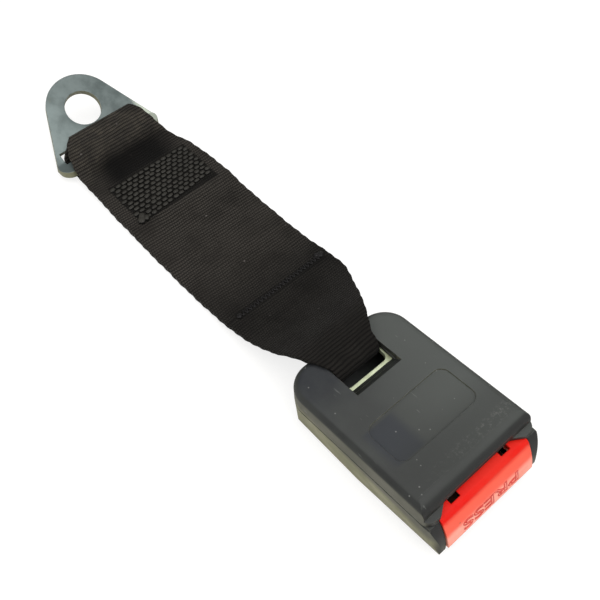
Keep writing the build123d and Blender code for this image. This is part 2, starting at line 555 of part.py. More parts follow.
def anchor_plate():
    """The zinc-plated plate: pitched round nose with the bolt hole, spreading sides, and a flat slotted end."""
    tip = (HOLE_X - (NOSE_RADIUS + 2) * cos(PITCH), HOLE_Z + (NOSE_RADIUS + 2) * sin(PITCH))
    bar_end = (ANCHOR_BAR_X + BAR_WIDTH / 2, ANCHOR_BAR_Z)
    sheet = bent_sheet([tip, (BEND_X, ANCHOR_BAR_Z), bar_end], BEND_R, PLATE, PLATE_HALF)
    # nose and spreading sides, drawn on the pitched face
    flare = radians(FLARE_DEG)
    tangent = (-NOSE_RADIUS * sin(flare), NOSE_RADIUS * cos(flare))
    lug_u = tangent[0] + (PLATE_HALF - tangent[1]) / tan(flare)
    nose = ThreePointArc((tangent[0], -tangent[1]), (-NOSE_RADIUS, 0), tangent)
    sides = Polyline(tangent, (lug_u, PLATE_HALF), (60, PLATE_HALF), (60, -PLATE_HALF), (lug_u, -PLATE_HALF),
                     (tangent[0], -tangent[1]))
    plate = Pos(0, ANCHOR_OFFSET_Y, 0) * sheet & extrude(PLATE_PLANE * make_face([nose, sides]), 40, both=True)
    # rounded corners of the bar end
    end = Pos(bar_end[0] - 20, ANCHOR_OFFSET_Y) * RectangleRounded(40, 2 * PLATE_HALF, BAR_CORNER_R)
    rear = block(HOLE_X - 60, bar_end[0] - 15, -60, 60, -40, 80)
    plate &= extrude(end, 40, both=True) + rear
    # webbing slot across the bend
    start_x = BEND_X - PLATE_SLOT_START * cos(PITCH)
    start_z = ANCHOR_BAR_Z + PLATE_SLOT_START * sin(PITCH)
    slot_end_x = ANCHOR_BAR_X - BAR_WIDTH / 2
    over = 3.0
    slot = xz_prism([(start_x + over * sin(PITCH), start_z + over * cos(PITCH)),
                     (slot_end_x, start_z + over * cos(PITCH)), (slot_end_x, ANCHOR_BAR_Z - over),
                     (start_x - over * sin(PITCH), start_z - over * cos(PITCH))], PLATE_SLOT_HALF, ANCHOR_OFFSET_Y)
    hole = PLATE_PLANE * Cylinder(HOLE_R, 4 * PLATE)
    return plate - slot - hole


# --- build -----------------------------------------------------------------------------------------------
NODES = {
    "upper_cover": upper_cover,
    "lower_cover": lower_cover,
    "frame": frame,
    "frame_bridge": frame_bridge,
    "bridge_rivets": bridge_rivets,
    "latch_spring": latch_spring,
    "latch_pivot_pin": latch_pivot_pin,
    "latch_plate": latch_plate,
    "ejector": ejector,
    "ejector_spring": ejector_spring,
    "release_button": release_button,
    "button_spring_left": lambda: button_spring(1),
    "button_spring_right": lambda: button_spring(-1),
    "tongue_guide": tongue_guide,
    "webbing_upper_ply": webbing_upper_ply,
    "webbing_lower_ply": webbing_lower_ply,
    "webbing_buckle_loop": webbing_buckle_loop,
    "webbing_anchor_loop": webbing_anchor_loop,
    "anchor_plate": anchor_plate,
}

os.makedirs("parts", exist_ok=True)
to_hole = Pos(-HOLE_X, -ANCHOR_OFFSET_Y, -HOLE_Z)
for name, make in NODES.items():
    piece = to_hole * make()
    export_step(piece, f"parts/{name}.step")
    print(name, round(piece.volume, 1), len(piece.solids()))
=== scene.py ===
# %% [markdown]
# # A seat belt buckle, dressed in Blender
# The imported CAD model is the fixed frame: every rigid part already has its exact shape and place.
# This lesson gives those parts their finishes, and it makes what CAD is poor at: the woven
# webbing, its stitching, and the lettering on the push button. First the frame is loaded.

# %% Load the frame
from math import ceil, pi, radians

import bmesh
import bpy
import numpy as np
from mathutils import Matrix, Vector


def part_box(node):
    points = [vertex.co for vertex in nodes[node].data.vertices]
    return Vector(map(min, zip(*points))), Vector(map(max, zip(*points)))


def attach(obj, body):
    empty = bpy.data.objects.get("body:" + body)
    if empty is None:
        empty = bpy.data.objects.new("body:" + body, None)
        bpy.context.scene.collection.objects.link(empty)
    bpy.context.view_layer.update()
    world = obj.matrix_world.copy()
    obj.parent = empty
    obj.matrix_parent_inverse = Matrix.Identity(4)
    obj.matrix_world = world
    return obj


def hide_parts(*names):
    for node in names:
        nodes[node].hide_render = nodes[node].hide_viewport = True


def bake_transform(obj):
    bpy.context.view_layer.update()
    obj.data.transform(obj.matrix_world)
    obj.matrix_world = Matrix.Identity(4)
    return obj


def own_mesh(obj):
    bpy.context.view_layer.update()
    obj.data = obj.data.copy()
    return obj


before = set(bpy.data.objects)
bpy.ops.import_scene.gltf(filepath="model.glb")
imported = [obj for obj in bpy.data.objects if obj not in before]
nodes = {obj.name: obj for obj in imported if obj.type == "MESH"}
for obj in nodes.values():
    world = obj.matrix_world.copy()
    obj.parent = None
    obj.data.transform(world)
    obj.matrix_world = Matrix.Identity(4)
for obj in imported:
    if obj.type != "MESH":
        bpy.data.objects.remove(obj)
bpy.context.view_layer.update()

# %% [markdown]
# The sizes below are written as a workshop would write them: in millimetres from the housing's rear
# edge, from the middle of the housing, and up from the surface that everything lies on. One small
# function turns such a place into the frame's metres. Its zero comes from the boxes of the covers, so
# the pieces follow the CAD if it changes.

# %% Workshop coordinates
MM = 0.001
cover_low, cover_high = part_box("upper_cover")
REAR_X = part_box("lower_cover")[0].x
MIDDLE_Y = (cover_low.y + cover_high.y) / 2
TABLE_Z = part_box("lower_cover")[0].z


def at(x, y, z):
    """A place in millimetres from the housing's rear edge, middle and table, in the frame's metres."""
    return Vector((REAR_X + x * MM, MIDDLE_Y + y * MM, TABLE_Z + z * MM))


print("housing rear edge in the frame:", at(0, 0, 0))

# %% [markdown]
# ## The camera
# The camera looks down on the buckle from the front right, with a slightly long lens. Building its
# rotation from three axes, instead of from Euler angles, lets the view lean by a few degrees without
# any trial and error: the third axis points back from the target, and the first two are turned about
# it by the lean.

# %% Camera
AZIMUTH, ELEVATION, LEAN = radians(50.89), radians(55.38), radians(-2.83)
TARGET, DISTANCE, LENS = at(-29.75, 10.54, 0), 0.293, 48.84
turn = Matrix.Rotation(AZIMUTH, 3, "Z") @ Matrix.Rotation(pi / 2 - ELEVATION, 3, "X")
turn = turn @ Matrix.Rotation(LEAN, 3, "Z")
camera = bpy.data.objects.new("camera", bpy.data.cameras.new("camera"))
camera.data.lens = LENS
camera.matrix_world = Matrix.Translation(TARGET + turn.col[2] * DISTANCE) @ turn.to_4x4()
camera.data.clip_start = 0.01
bpy.context.scene.collection.objects.link(camera)
bpy.context.scene.camera = camera
print("camera at", camera.matrix_world.translation)

# %% [markdown]
# ## A white table and soft light
# The buckle lies on a plain white table. A big box light overhead and two weaker ones at the sides give
# about the level at which a colour shows as it is written. The table is a dull white, and for the camera
# alone part of it glows, so that it reads as clean white paper while the object's own shadow stays.

# %% Table, lamps and world
scene = bpy.context.scene
scene.view_settings.view_transform = "Standard"
PAPER_GLOW, GLOW_STRENGTH = 0.68, 1.12
PAPER_DROP = 0.15  # the cloth sags a touch lower than the housing


def plain_material(name):
    """A new node material: its tree and its Principled BSDF."""
    material = bpy.data.materials.new(name)
    material.use_nodes = True
    return material, material.node_tree, material.node_tree.nodes["Principled BSDF"]


def piece_from(bm, name, material=None):
    """Turns a finished bmesh into a smooth-shaded object at the origin."""
    mesh = bpy.data.meshes.new(name)
    bm.to_mesh(mesh)
    bm.free()
    piece = bpy.data.objects.new(name, mesh)
    scene.collection.objects.link(piece)
    mesh.polygons.foreach_set("use_smooth", [True] * len(mesh.polygons))
    if material:
        mesh.materials.append(material)
    return piece


def white_paper():
    """A dull white that glows a little, but only where the camera or a reflection looks at it."""
    material, tree, shader = plain_material("white_paper")
    shader.inputs["Base Color"].default_value = (0.95, 0.935, 0.90, 1)
    shader.inputs["Roughness"].default_value = 0.9
    glow = tree.nodes.new("ShaderNodeEmission")
    mix = tree.nodes.new("ShaderNodeMixShader")
    path = tree.nodes.new("ShaderNodeLightPath")
    share = tree.nodes.new("ShaderNodeMath")
    share.operation = "MULTIPLY"
    share.inputs[1].default_value = PAPER_GLOW
    glow.inputs["Strength"].default_value = GLOW_STRENGTH
    tree.links.new(path.outputs["Is Camera Ray"], share.inputs[0])
    tree.links.new(share.outputs[0], mix.inputs[0])
    tree.links.new(shader.outputs[0], mix.inputs[1])
    tree.links.new(glow.outputs[0], mix.inputs[2])
    tree.links.new(mix.outputs[0], tree.nodes["Material Output"].inputs["Surface"])
    return material


paper_place = Matrix.Translation(at(0, 0, -PAPER_DROP))
bm = bmesh.new()
bmesh.ops.create_grid(bm, x_segments=1, y_segments=1, size=3.0, matrix=paper_place)
table = piece_from(bm, "table", white_paper())
LOOK = at(-40, 0, 0)


def box_light(name, place, size, watts):
    """A square white soft box that faces the middle of the object."""
    lamp = bpy.data.objects.new(name, bpy.data.lights.new(name, "AREA"))
    lamp.data.size = size
    lamp.data.energy = watts
    lamp.location = place
    lamp.rotation_euler = (LOOK - place).to_track_quat("-Z", "Y").to_euler()
    scene.collection.objects.link(lamp)


box_light("top_light", at(80, 60, 900), 0.9, 8.0)
box_light("front_light", at(650, 100, 420), 0.5, 1.9)
box_light("side_light", at(-300, -700, 450), 0.6, 2.6)
world = bpy.data.worlds.new("studio")
world.use_nodes = True
world.node_tree.nodes["Background"].inputs["Color"].default_value = (1, 1, 1, 1)
world.node_tree.nodes["Background"].inputs["Strength"].default_value = 0.28
scene.world = world

# %% [markdown]
# ## Shared effects
# Real plastic and steel are never one flat colour. Three effects come back in several finishes here, so
# each is a node group that is built once: rounded edges with a wear mask, a moulded grain, and loose dust.
# A group puts out masks, heights and normals only. The Principled shader stays in each material. A tiny
# helper keeps the node code short: it adds a node, sets its properties and links its inputs.

# %% Node helper


def add(tree, kind, links=None, **settings):
    """Adds a node; links maps an input's name or number to a socket to link, or to a plain value."""
    node = tree.nodes.new("ShaderNode" + kind)
    for key, value in settings.items():
        setattr(node, key, value)
    for key, value in (links or {}).items():
        if isinstance(value, bpy.types.NodeSocket):
            tree.links.new(value, node.inputs[key])
        else:
            node.inputs[key].default_value = value
    return node


def math(tree, operation, a, b=0.0, clamp=False):
    """A Math node's result."""
    return add(tree, "Math", {0: a, 1: b}, operation=operation, use_clamp=clamp).outputs[0]


def times(tree, *shares):
    """The product of several shares."""
    product = shares[0]
    for share in shares[1:]:
        product = math(tree, "MULTIPLY", product, share)
    return product


def ramp(tree, value, low, high, to_low=0.0, to_high=1.0):
    """A value mapped smoothly from low..high to to_low..to_high, and clamped there."""
    links = {"Value": value, "From Min": low, "From Max": high, "To Min": to_low, "To Max": to_high}
    return add(tree, "MapRange", links, interpolation_type="SMOOTHSTEP").outputs["Result"]


def tint(tree, share, a, b):
    """Colour a turning into colour b by the share."""
    links = {0: share, 6: a if isinstance(a, bpy.types.NodeSocket) else (*a, 1),
             7: b if isinstance(b, bpy.types.NodeSocket) else (*b, 1)}
    return add(tree, "Mix", links, data_type="RGBA").outputs[2]


def object_place(tree):
    """The place on the object, in its own metres."""
    return add(tree, "TexCoord").outputs["Object"]


def noise(tree, place, scale, detail=2.0, roughness=0.5):
    """A noise pattern's value."""
    links = {"Vector": place, "Scale": scale, "Detail": detail, "Roughness": roughness}
    return add(tree, "TexNoise", links).outputs["Fac"]


def plain_normal(tree):
    """The surface's own direction, for a finish with no rounded edges."""
    return add(tree, "NewGeometry").outputs["Normal"]


def new_group(name, inputs, outputs):
    """An empty shader group with named float inputs, and outputs given as name: socket type."""
    group = bpy.data.node_groups.new(name, "ShaderNodeTree")
    for label, (kind, value) in inputs.items():
        group.interface.new_socket(label, in_out="INPUT", socket_type=kind).default_value = value
    for label, kind in outputs.items():
        group.interface.new_socket(label, in_out="OUTPUT", socket_type=kind)
    return group, group.nodes.new("NodeGroupInput"), group.nodes.new("NodeGroupOutput")


FLOAT, VECTOR = "NodeSocketFloat", "NodeSocketVector"

# %% Group: soft edges and wear
edges, g_in, g_out = new_group("soft_edges", {"Radius": (FLOAT, 0.0003), "Wear": (FLOAT, 0.5)},
                               {"Normal": VECTOR, "Worn": FLOAT})
rounded = add(edges, "Bevel", {"Radius": g_in.outputs["Radius"]}, samples=6)
surface = add(edges, "NewGeometry")
pair = {0: rounded.outputs[0], 1: surface.outputs["Normal"]}
facing = add(edges, "VectorMath", pair, operation="DOT_PRODUCT")
edge = ramp(edges, facing.outputs["Value"], 0.995, 0.86)
patchy = ramp(edges, noise(edges, object_place(edges), 420, 4, 0.65), 0.62, 0.38)
worn = math(edges, "MULTIPLY", times(edges, edge, patchy), g_in.outputs["Wear"], clamp=True)
edges.links.new(rounded.outputs[0], g_out.inputs["Normal"])
edges.links.new(worn, g_out.inputs["Worn"])

# %% Group: moulded grain, with slow changes of tone
grain, g_in, g_out = new_group("moulded_grain", {"Scale": (FLOAT, 2600.0)}, {"Height": FLOAT, "Tone": FLOAT})
spot = object_place(grain)
grain.links.new(noise(grain, spot, g_in.outputs["Scale"], 3, 0.6), g_out.inputs["Height"])
grain.links.new(ramp(grain, noise(grain, spot, 55.0, 4, 0.6), 0.36, 0.64), g_out.inputs["Tone"])

# %% Group: dust specks and short hair scratches
dust, g_in, g_out = new_group("dust", {"Scale": (FLOAT, 480.0), "Share": (FLOAT, 0.2)},
                              {"Specks": FLOAT, "Scratches": FLOAT})
spot = object_place(dust)
cell = add(dust, "TexVoronoi", {"Vector": spot, "Scale": g_in.outputs["Scale"], "Randomness": 1.0})
chance = add(dust, "SeparateColor", {0: cell.outputs["Color"]}).outputs[0]
lucky = math(dust, "LESS_THAN", chance, g_in.outputs["Share"])
speck = ramp(dust, cell.outputs["Distance"], 0.16, 0.06)
dust.links.new(times(dust, speck, lucky), g_out.inputs["Specks"])
stretch = {"Vector": spot, "Rotation": (0, 0, 0.7), "Scale": (150, 900, 600)}
stretched = add(dust, "Mapping", stretch).outputs[0]
hair = ramp(dust, noise(dust, stretched, 1.0, 2, 0.4), 0.70, 0.76)
some_places = ramp(dust, noise(dust, spot, 70, 1), 0.52, 0.6)
dust.links.new(times(dust, hair, some_places), g_out.inputs["Scratches"])
print("groups:", [g.name for g in bpy.data.node_groups])

# %% [markdown]
# ## Finishes of the rigid parts
# The covers are one dark grey plastic. Its top is neutral and a little dusty, with a painted sheen that
# grows towards the far side; painted shade darkens its near rear, its front part, its rounded edges and
# the mouth and notch, and a painted reflection of the white table makes the side walls pale olive towards
# the bottom. Handling has rubbed the front brow pale. The finish reads the place on the object and the
# direction that the surface faces, never the camera.

# %% Cover plastic


def placed(tree, axis, low, high):
    """A share from 0 to 1 between two heights, lengths or widths, in workshop millimetres."""
    origin = at(0, 0, 0)["XYZ".index(axis)]
    parts = add(tree, "SeparateXYZ", {0: object_place(tree)})
    return ramp(tree, parts.outputs[axis], origin + low * MM, origin + high * MM)


def within(tree, axis, low, high, soft=0.5):
    """A share that is 1 between two places along an axis and fades to 0 over a soft margin outside them."""
    return times(tree, placed(tree, axis, low - soft, low), placed(tree, axis, high + soft, high))


def facing_share(tree, axis, low, high):
    """A share from 0 to 1 by how far the surface faces along an axis."""
    parts = add(tree, "SeparateXYZ", {0: plain_normal(tree)})
    return ramp(tree, parts.outputs[axis], low, high)


def finish(tree, shader, colour, roughness, height, depth, normal, shine=0.5):
    """Links a colour, a roughness and a bump of some depth in metres over the given normal."""
    shader.inputs["Specular IOR Level"].default_value = shine
    tree.links.new(colour, shader.inputs["Base Color"])
    if isinstance(roughness, bpy.types.NodeSocket):
        tree.links.new(roughness, shader.inputs["Roughness"])
    else:
        shader.inputs["Roughness"].default_value = roughness
    bump = add(tree, "Bump", {"Height": height, "Distance": depth, "Strength": 1.0, "Normal": normal})
    tree.links.new(bump.outputs[0], shader.inputs["Normal"])


def cover_plastic():
    """Dark grey plastic with dust and a rubbed brow; painted sheen on the top, painted shade at the near
    rear, front, rounded edges and openings, and a painted reflection on the side faces.
    """
    material, tree, shader = plain_material("cover_plastic")
    grainy = add(tree, "Group", node_tree=grain)
    dusty = add(tree, "Group", {"Share": 0.07}, node_tree=dust)
    soft = add(tree, "Group", {"Radius": 0.0005, "Wear": 0.35}, node_tree=edges)
    spot = object_place(tree)
    # Painted sheen: the top grows lighter towards the far side.
    top = tint(tree, placed(tree, "Y", -16, 20), (0.038, 0.040, 0.038), (0.066, 0.071, 0.066))
    # Painted shade at the near rear of the top.
    painted_shade_rear_near = times(tree, placed(tree, "X", 26, 2), placed(tree, "Y", 12, -14))
    top = tint(tree, painted_shade_rear_near, top, (0.014, 0.015, 0.020))
    # Painted reflection of the white table: the side walls turn pale olive towards the bottom.
    walls_painted_reflection = tint(tree, placed(tree, "Z", 16, 12.5), (0.075, 0.074, 0.052), (0.185, 0.180, 0.100))
    # Painted shade: the rounded edges between the flat top and the side walls are near black.
    level = facing_share(tree, "Z", 0.80, 0.95)
    roof_and_painted_edge_shade = tint(tree, level, (0.014, 0.015, 0.014), top)
    colour = tint(tree, facing_share(tree, "Z", 0.12, 0.35), walls_painted_reflection, roof_and_painted_edge_shade)
    colour = tint(tree, times(tree, grainy.outputs["Tone"], 0.22), colour, (0.070, 0.076, 0.070))
    patch = times(tree, within(tree, "X", 31.6, 44.6, 1.0), within(tree, "Y", -16, -8.5, 4.0), level)
    colour = tint(tree, times(tree, patch, 0.7), colour, (0.026, 0.029, 0.036))
    recess = times(tree, within(tree, "X", 31, 45.2), within(tree, "Y", -4, 15.2, 3.0), level)
    colour = tint(tree, times(tree, recess, 0.15), colour, (0.070, 0.076, 0.066))
    # Painted shade: the flat top darkens towards the front.
    front = times(tree, placed(tree, "X", 36, 50), level)
    colour = tint(tree, times(tree, front, 0.40), colour, (0.022, 0.023, 0.021))
    scuffs = ramp(tree, noise(tree, spot, 800, 6, 0.8), 0.50, 0.68)
    brow = times(tree, within(tree, "X", 52.6, 54.2, 2.2), placed(tree, "Y", -24, 22),
                  placed(tree, "Z", 17, 21), scuffs)
    colour = tint(tree, times(tree, brow, 0.28), colour, (0.22, 0.22, 0.20))
    colour = tint(tree, soft.outputs["Worn"], colour, (0.15, 0.15, 0.13))
    colour = tint(tree, times(tree, dusty.outputs["Specks"], 0.42), colour, (0.30, 0.30, 0.28))
    colour = tint(tree, times(tree, dusty.outputs["Scratches"], 0.22), colour, (0.25, 0.26, 0.24))
    # Painted shade: near black on the front faces of the mouth and on the walls of the notch.
    mouth = times(tree, placed(tree, "X", 57, 60), facing_share(tree, "X", 0.35, 0.75))
    notch = times(tree, within(tree, "Y", -10.4, 10.4, 0.3), placed(tree, "X", 18.5, 17.5),
                  facing_share(tree, "Z", 0.85, 0.6), facing_share(tree, "Z", -0.5, -0.1))
    shaded = math(tree, "MAXIMUM", mouth, notch)
    colour = tint(tree, times(tree, shaded, 0.85), colour, (0.010, 0.010, 0.010))
    rough = ramp(tree, grainy.outputs["Tone"], 0, 1, 0.46, 0.60)
    finish(tree, shader, colour, rough, grainy.outputs["Height"], 0.00003, soft.outputs["Normal"], 0.22)
    return material


# %% [markdown]
# The push button is a strong red. Painted shade makes it deep red at the top, under the cover's edge,
# and painted light makes its face lighter and its lower edge nearly pink. Plastic lets a little light in,
# so its shadows are warm: a small subsurface share does that.

# %% Button plastic


def button_plastic():
    """Strong red, with painted shade near the top, painted light towards the lower edge, and painted shade
    inside the two windows.
    """
    material, tree, shader = plain_material("button_plastic")
    grainy = add(tree, "Group", {"Scale": 3200.0}, node_tree=grain)
    dusty = add(tree, "Group", {"Scale": 380.0, "Share": 0.12}, node_tree=dust)
    # Painted shade deepens the red at the top, under the cover's edge; painted light makes the face lighter
    # and the lower edge nearly pink.
    colour = tint(tree, placed(tree, "Z", 18.6, 16.4), (0.66, 0.006, 0.002), (0.84, 0.105, 0.060))
    colour = tint(tree, placed(tree, "Z", 14.0, 11.4), colour, (0.88, 0.34, 0.26))
    colour = tint(tree, times(tree, grainy.outputs["Tone"], 0.18), colour, (0.66, 0.07, 0.04))
    colour = tint(tree, times(tree, dusty.outputs["Specks"], 0.6), colour, (0.36, 0.10, 0.05))
    # Painted shade: near black inside the two windows.
    windows = math(tree, "ADD", within(tree, "Y", 8.8, 12.2, 0.1), within(tree, "Y", -12.2, -8.8, 0.1), True)
    inside = times(tree, windows, within(tree, "X", 58.6, 62.6, 0.1), facing_share(tree, "Z", 0.6, 0.3))
    colour = tint(tree, inside, colour, (0.004, 0.003, 0.003))
    soft = add(tree, "Group", {"Radius": 0.0005}, node_tree=edges)
    rough = ramp(tree, grainy.outputs["Tone"], 0, 1, 0.38, 0.48)
    finish(tree, shader, colour, rough, grainy.outputs["Height"], 0.00001, soft.outputs["Normal"], 0.1)
    shader.inputs["Subsurface Weight"].default_value = 0.06
    shader.inputs["Subsurface Radius"].default_value = (0.002, 0.0006, 0.0003)
    return material


# %% [markdown]
# Steel comes in several looks here: the anchor plate's dull blue zinc with rust stains, olive side faces
# and a painted highlight on its far lug, the frame's yellow passivated zinc with painted shade inside the
# housing, and the plain steel of pins and springs. One function makes them all from two tones, a stain
# colour, and how rough each is.

# %% Steel finishes


def steel(name, light, dark, stain, roughness, metallic=0.85, stained=0.3, scale=130, sides=None, inside_shade_share=0.0):
    """Plated or plain steel: two tones in soft blotches, stains, bright worn edges and a brushed grain."""
    material, tree, shader = plain_material(name)
    spot = object_place(tree)
    soft = add(tree, "Group", {"Radius": 0.0004, "Wear": 0.8}, node_tree=edges)
    blotch = ramp(tree, noise(tree, spot, scale, 5, 0.62), 0.35, 0.68)
    colour = tint(tree, blotch, light, dark)
    rusty = ramp(tree, noise(tree, spot, scale * 1.9, 6, 0.7), 0.60, 0.72)
    colour = tint(tree, times(tree, rusty, stained), colour, stain)
    # On the anchor plate: lighter on its near half, a painted highlight on the far lug, and olive where the
    # faces do not face up.
    if sides:
        near_half = times(tree, placed(tree, "Y", 2, -12), placed(tree, "X", -134, -146))
        colour = tint(tree, times(tree, near_half, 0.6), colour, tuple(1.55 * c for c in light))
        far_lug_painted_highlight = times(tree, placed(tree, "Y", 20.5, 23.5), placed(tree, "X", -152, -148))
        colour = tint(tree, far_lug_painted_highlight, colour, (0.46, 0.50, 0.42))
        colour = tint(tree, facing_share(tree, "Z", 0.55, 0.25), colour, sides)
    # Painted shade: the frame fades to near black inside the housing, between 20 and 26 mm from its rear
    # edge.
    if inside_shade_share:
        inside_shade_mask = times(tree, placed(tree, "X", 20, 26), inside_shade_share)
        colour = tint(tree, inside_shade_mask, colour, (0.010, 0.010, 0.009))
    colour = tint(tree, soft.outputs["Worn"], colour, tuple(min(1, 1.5 * c + 0.10) for c in light))
    drawn_out = add(tree, "Mapping", {"Vector": spot, "Scale": (300, 4000, 4000)}).outputs[0]
    brushed = noise(tree, drawn_out, 1.0, 2)
    rough = ramp(tree, blotch, 0, 1, roughness, roughness + 0.16)
    finish(tree, shader, colour, rough, brushed, 0.000012, soft.outputs["Normal"])
    shader.inputs["Metallic"].default_value = metallic
    return material


# %% [markdown]
# The small parts inside are hardly seen, but they are when the button is pressed or the part is turned.
# They get a smooth black plastic and plain steels. Then every CAD node takes its finish: assigning to a
# material slot changes nothing in the node's mesh.

# %% Dark plastic and the table of finishes


def dark_plastic():
    """Smooth black plastic for the parts inside."""
    material, tree, shader = plain_material("dark_plastic")
    grainy = add(tree, "Group", {"Scale": 1800.0}, node_tree=grain)
    colour = tint(tree, grainy.outputs["Tone"], (0.018, 0.018, 0.020), (0.034, 0.034, 0.035))
    soft = add(tree, "Group", {"Radius": 0.0002}, node_tree=edges)
    rough = ramp(tree, grainy.outputs["Tone"], 0, 1, 0.38, 0.46)
    finish(tree, shader, colour, rough, grainy.outputs["Height"], 0.00002, soft.outputs["Normal"])
    return material


covers, red, black = cover_plastic(), button_plastic(), dark_plastic()
zinc = steel("plate_zinc", (0.102, 0.124, 0.120), (0.076, 0.095, 0.092), (0.110, 0.100, 0.055),
             0.45, 0.55, 0.40, 90, sides=(0.160, 0.160, 0.100))
passivated = steel("frame_steel", (0.50, 0.54, 0.37), (0.38, 0.42, 0.27), (0.28, 0.22, 0.08),
                   0.38, 0.4, inside_shade_share=0.85)
plain = steel("plain_steel", (0.56, 0.56, 0.56), (0.42, 0.42, 0.43), (0.25, 0.18, 0.10),
              0.28, 0.95, 0.15, 300)
hardened = steel("hardened_steel", (0.34, 0.34, 0.36), (0.24, 0.24, 0.26), (0.16, 0.12, 0.08),
                 0.30, 0.95, 0.2, 200)
FINISHES = {
    covers: ["upper_cover", "lower_cover"],
    red: ["release_button"],
    black: ["ejector", "tongue_guide"],
    zinc: ["anchor_plate"],
    passivated: ["frame", "frame_bridge"],
    plain: ["bridge_rivets", "latch_pivot_pin", "latch_spring", "ejector_spring", "button_spring_left",
            "button_spring_right"],
    hardened: ["latch_plate"],
}
for material, names in FINISHES.items():
    for name in names:
        nodes[name].data.materials.clear()
        nodes[name].data.materials.append(material)
        print(name, "->", material.name)

# %% [markdown]
# Three coil springs shorten in the real buckle when the button or the ejector moves back. Here each
# one only gets a mesh of its own, and the travels of its joint are listed but not used.

# %% Springs, each with its own mesh
BUTTON_TRAVEL, EJECTOR_TRAVEL = 6.0, 8.5
for name, joint, travel in (("button_spring_left", "button_press", BUTTON_TRAVEL),
                            ("button_spring_right", "button_press", BUTTON_TRAVEL),
                            ("ejector_spring", "ejector_slide", EJECTOR_TRAVEL)):
    low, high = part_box(name)
    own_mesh(nodes[name])

# %% [markdown]
# ## The webbing
# Seat belt webbing is a thick, tightly woven ribbon. On the real strap one ribbon goes out along the
# table, round the bar of the buckle's frame and back on top of itself. Cloth simulation would lose the
# woven edges of such a flat strap, so it is modelled directly: a grid is laid along a smooth path, its
# two edges follow their own curves, and Solidify gives it its thickness. The ribbon is in three lengths
# that meet under the zigzag seam, because each may bend across one joint only.

# %% Webbing path helpers
CLOTH = 1.25  # one ply
WEBBING_WIDTH = 47.0


def smooth_path(stations, step=1.0):
    """A Catmull-Rom curve through the stations, (x, z, near edge, far edge), at even steps of its length."""
    p = np.array([stations[0], *stations, stations[-1]], float)
    t = np.linspace(0, 1, 24, endpoint=False)[:, None]
    fine = [0.5 * (2 * b + (c - a) * t + (2 * a - 5 * b + 4 * c - d) * t**2 + (3 * b - a - 3 * c + d) * t**3)
            for a, b, c, d in zip(p, p[1:], p[2:], p[3:])]
    fine = np.concatenate([*fine, p[-1:]])
    along = np.concatenate([[0], np.cumsum(np.linalg.norm(np.diff(fine[:, :2], axis=0), axis=1))])
    even = np.linspace(0, along[-1], ceil(along[-1] / step) + 1)
    return even, np.stack([np.interp(even, along, fine[:, k]) for k in range(4)], axis=1)


def ribbon(name, stations, material, columns=48):
    """A length of webbing: a grid laid along the stations' path, given its thickness and rounded edges."""
    along, path = smooth_path(stations)
    length = along[-1]
    bm = bmesh.new()
    weave_uv = bm.loops.layers.uv.new("weave")
    bmesh.ops.create_grid(bm, x_segments=len(along) - 1, y_segments=columns, size=0.5)
    for face in bm.faces:
        for loop in face.loops:
            s, u = loop.vert.co.x + 0.5, loop.vert.co.y + 0.5
            loop[weave_uv].uv = (s * length * MM, u * WEBBING_WIDTH * MM)
    for vertex in bm.verts:
        s, u = vertex.co.x + 0.5, vertex.co.y + 0.5
        x, z, near, far = (np.interp(s * length, along, path[:, k]) for k in range(4))
        edge = (2 * u - 1) ** 7
        scallop = edge * (0.14 * np.sin(x * 1.35 + 3 * u) + 0.07 * np.sin(x * 0.47 + 1))
        swell = 0.12 * np.sin(x * 0.21 + 2) * np.sin(u * 5.1 + x * 0.05 + 1)
        vertex.co = at(x, near + (far - near) * u + scallop, z + swell)
    piece = piece_from(bm, name, material)
    thick = piece.modifiers.new("thickness", "SOLIDIFY")
    thick.thickness, thick.offset = CLOTH * MM, 0
    rim = piece.modifiers.new("selvedge", "BEVEL")
    rim.width, rim.segments, rim.limit_method, rim.angle_limit = 0.35 * MM, 2, "ANGLE", radians(50)
    solid = bpy.data.meshes.new_from_object(piece.evaluated_get(bpy.context.evaluated_depsgraph_get()))
    piece.modifiers.clear()
    piece.data = solid
    print(f"{name}: {length:.1f} mm long, {len(solid.polygons)} faces")
    return piece, length * MM


# %% [markdown]
# The weave shows fine ribs across the strap, each crossed by the yarns that run along it. Its pattern
# reads the ribbon's own UV map, which is in metres of flat cloth, so that the ribs turn round the loops
# with the cloth. Painted shade darkens the hollows between the ribs, and the cloth is browner on its
# raised ribs near the anchor plate.

# %% Webbing finish
RIB, YARN = 0.00128, 0.00095
weave, g_in, g_out = new_group("rib_weave", {"Rib": (FLOAT, RIB), "Yarn": (FLOAT, YARN)},
                               {"Height": FLOAT, "Fray": FLOAT})
cloth = add(weave, "SeparateXYZ", {0: add(weave, "UVMap", uv_map="weave").outputs[0]})
uneven = noise(weave, object_place(weave), 90, 3, 0.6)
rib_at = math(weave, "DIVIDE", cloth.outputs["X"], g_in.outputs["Rib"])
rib_at = math(weave, "ADD", rib_at, times(weave, uneven, 1.6))
yarn_at = math(weave, "DIVIDE", cloth.outputs["Y"], g_in.outputs["Yarn"])
every_other = times(weave, math(weave, "MODULO", math(weave, "FLOOR", rib_at), 2.0), 0.5)
rib_wave = math(weave, "ABSOLUTE", math(weave, "SINE", times(weave, rib_at, pi)))
shifted = math(weave, "ADD", yarn_at, every_other)
yarn_wave = math(weave, "ABSOLUTE", math(weave, "SINE", times(weave, shifted, pi)))
raised = times(weave, rib_wave, ramp(weave, yarn_wave, 0, 0.8, 0.40, 1.0))
raised = times(weave, raised, ramp(weave, uneven, 0.30, 0.62, 0.55, 1.0))
weave.links.new(raised, g_out.inputs["Height"])
fray = noise(weave, object_place(weave), 1500, 3, 0.7)
weave.links.new(ramp(weave, fray, 0.60, 0.72), g_out.inputs["Fray"])


